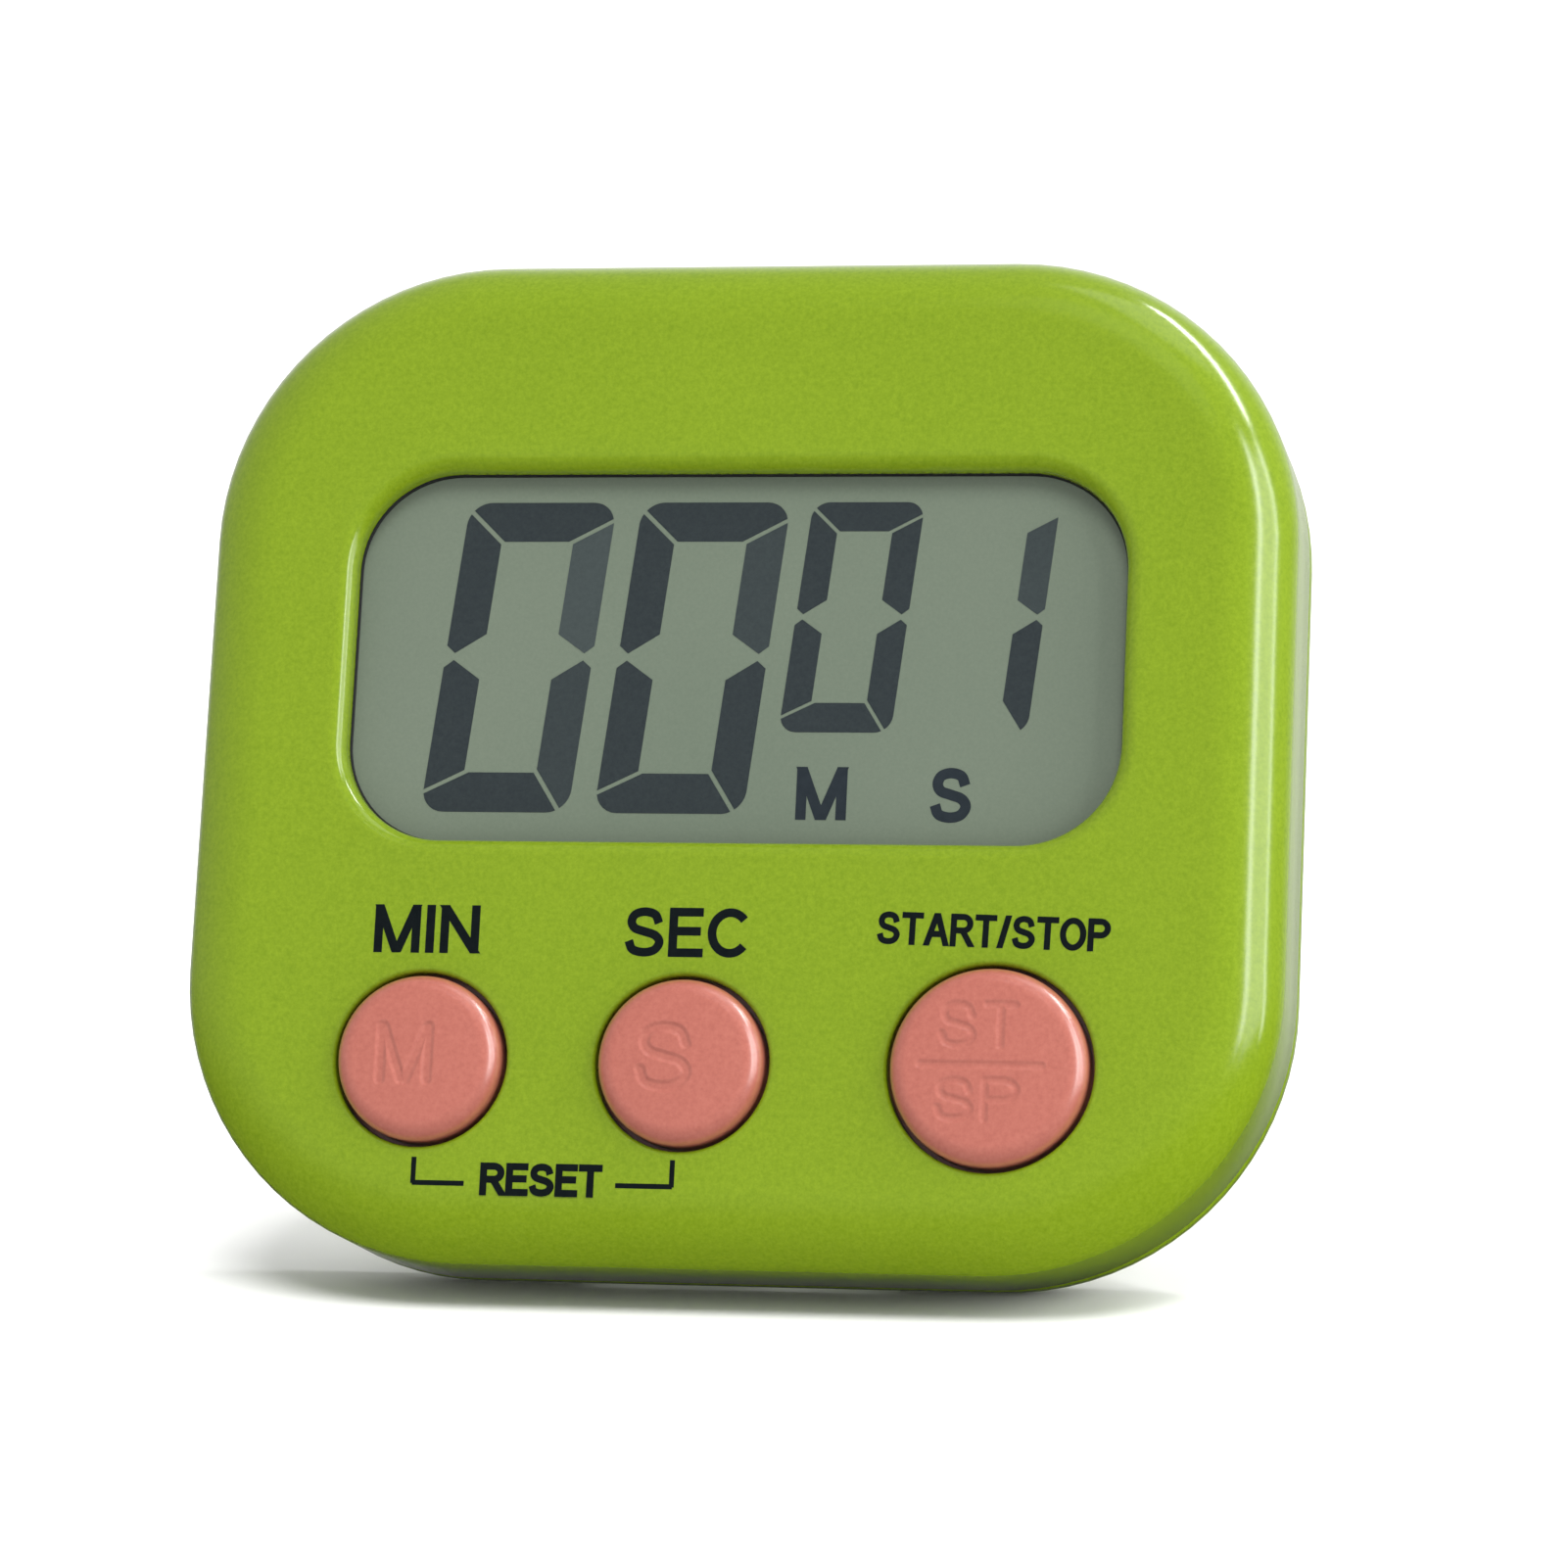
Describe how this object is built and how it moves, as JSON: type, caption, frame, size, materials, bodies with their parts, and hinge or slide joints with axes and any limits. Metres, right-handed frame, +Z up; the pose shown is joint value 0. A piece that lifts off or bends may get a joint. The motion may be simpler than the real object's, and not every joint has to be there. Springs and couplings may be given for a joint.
{
  "type": "kitchen timer",
  "caption": "Digital kitchen timer with a rounded case, a segment display and round push buttons, leaning on a fold-out kickstand.",
  "frame": {"origin": "on the table under the middle of the timer as it stands on its opened kickstand", "axes": "+X to the right of the display, +Y backwards, away from the reader, +Z up; the case leans back 20 degrees"},
  "size_m": [0.063, 0.0306, 0.0575],
  "materials": {
    "case_green": "moulded ABS, semi-gloss, apple green",
    "button_pink": "moulded ABS, satin, coral pink",
    "silicone": "translucent silicone rubber",
    "lcd_film": "polarising film, satin grey-green",
    "lcd_glass": "thin flat glass",
    "reflector": "rear polariser with a matt silver reflector",
    "zebra_rubber": "layered conductive rubber",
    "board": "glass-epoxy laminate with green solder mask",
    "epoxy": "black epoxy",
    "ceramic": "cream ceramic",
    "tin": "tinned sheet",
    "brass": "rolled brass disc",
    "wire_red": "red lead insulation",
    "wire_black": "black lead insulation",
    "steel": "plated steel",
    "ferrite": "dark grey sintered magnet"
  },
  "bodies": {
    "case": {"front_case": "case_green", "back_cover": "case_green", "lcd_front_polarizer": "lcd_film", "lcd_front_glass": "lcd_glass", "lcd_rear_glass": "lcd_glass", "lcd_reflector": "reflector", "lcd_zebra_strip": "zebra_rubber", "circuit_board": "board", "chip_blob": "epoxy", "pull_up_resistor": "epoxy", "buzzer_resistor": "epoxy", "capacitor": "ceramic", "quartz_crystal": "tin", "minute_dome": "silicone", "second_dome": "silicone", "start_stop_dome": "silicone", "battery_contact_negative": "tin", "battery_contact_positive": "tin", "button_cell": "steel", "buzzer_plate": "brass", "buzzer_ceramic": "ceramic", "buzzer_wire_red": "wire_red", "buzzer_wire_black": "wire_black", "magnet": "ferrite", "board_screw_left": "steel", "board_screw_right": "steel", "board_screw_lower_left": "steel", "board_screw_lower_right": "steel", "case_screw_top_left": "steel", "case_screw_top_right": "steel", "case_screw_bottom_left": "steel", "case_screw_bottom_right": "steel"},
    "minute_key": {"minute_button": "button_pink"},
    "second_key": {"second_button": "button_pink"},
    "start_stop_key": {"start_stop_button": "button_pink"},
    "stand": {"kickstand": "case_green"},
    "door": {"battery_door": "case_green"}
  },
  "joints": [
    {"name": "minute_press", "type": "slide", "parent": "case", "child": "minute_key", "axis": [0, 0.9397, -0.342], "range_m": [0, 0.0008], "stiffness_N_per_m": 1500, "deforming": ["minute_dome"]},
    {"name": "second_press", "type": "slide", "parent": "case", "child": "second_key", "axis": [0, 0.9397, -0.342], "range_m": [0, 0.0008], "stiffness_N_per_m": 1500, "deforming": ["second_dome"]},
    {"name": "start_stop_press", "type": "slide", "parent": "case", "child": "start_stop_key", "axis": [0, 0.9397, -0.342], "range_m": [0, 0.0008], "stiffness_N_per_m": 1500, "deforming": ["start_stop_dome"]},
    {"name": "kickstand_fold", "type": "hinge", "parent": "case", "child": "stand", "pos_m": [0, 0.00414, 0.02525], "axis": [-1, 0, 0], "range_deg": [0, 32]},
    {"name": "battery_door_turn", "type": "hinge", "parent": "case", "child": "door", "pos_m": [0.02, 0.00903, 0.03518], "axis": [0, -0.9397, 0.342], "range_deg": [0, 50]}
  ]
}
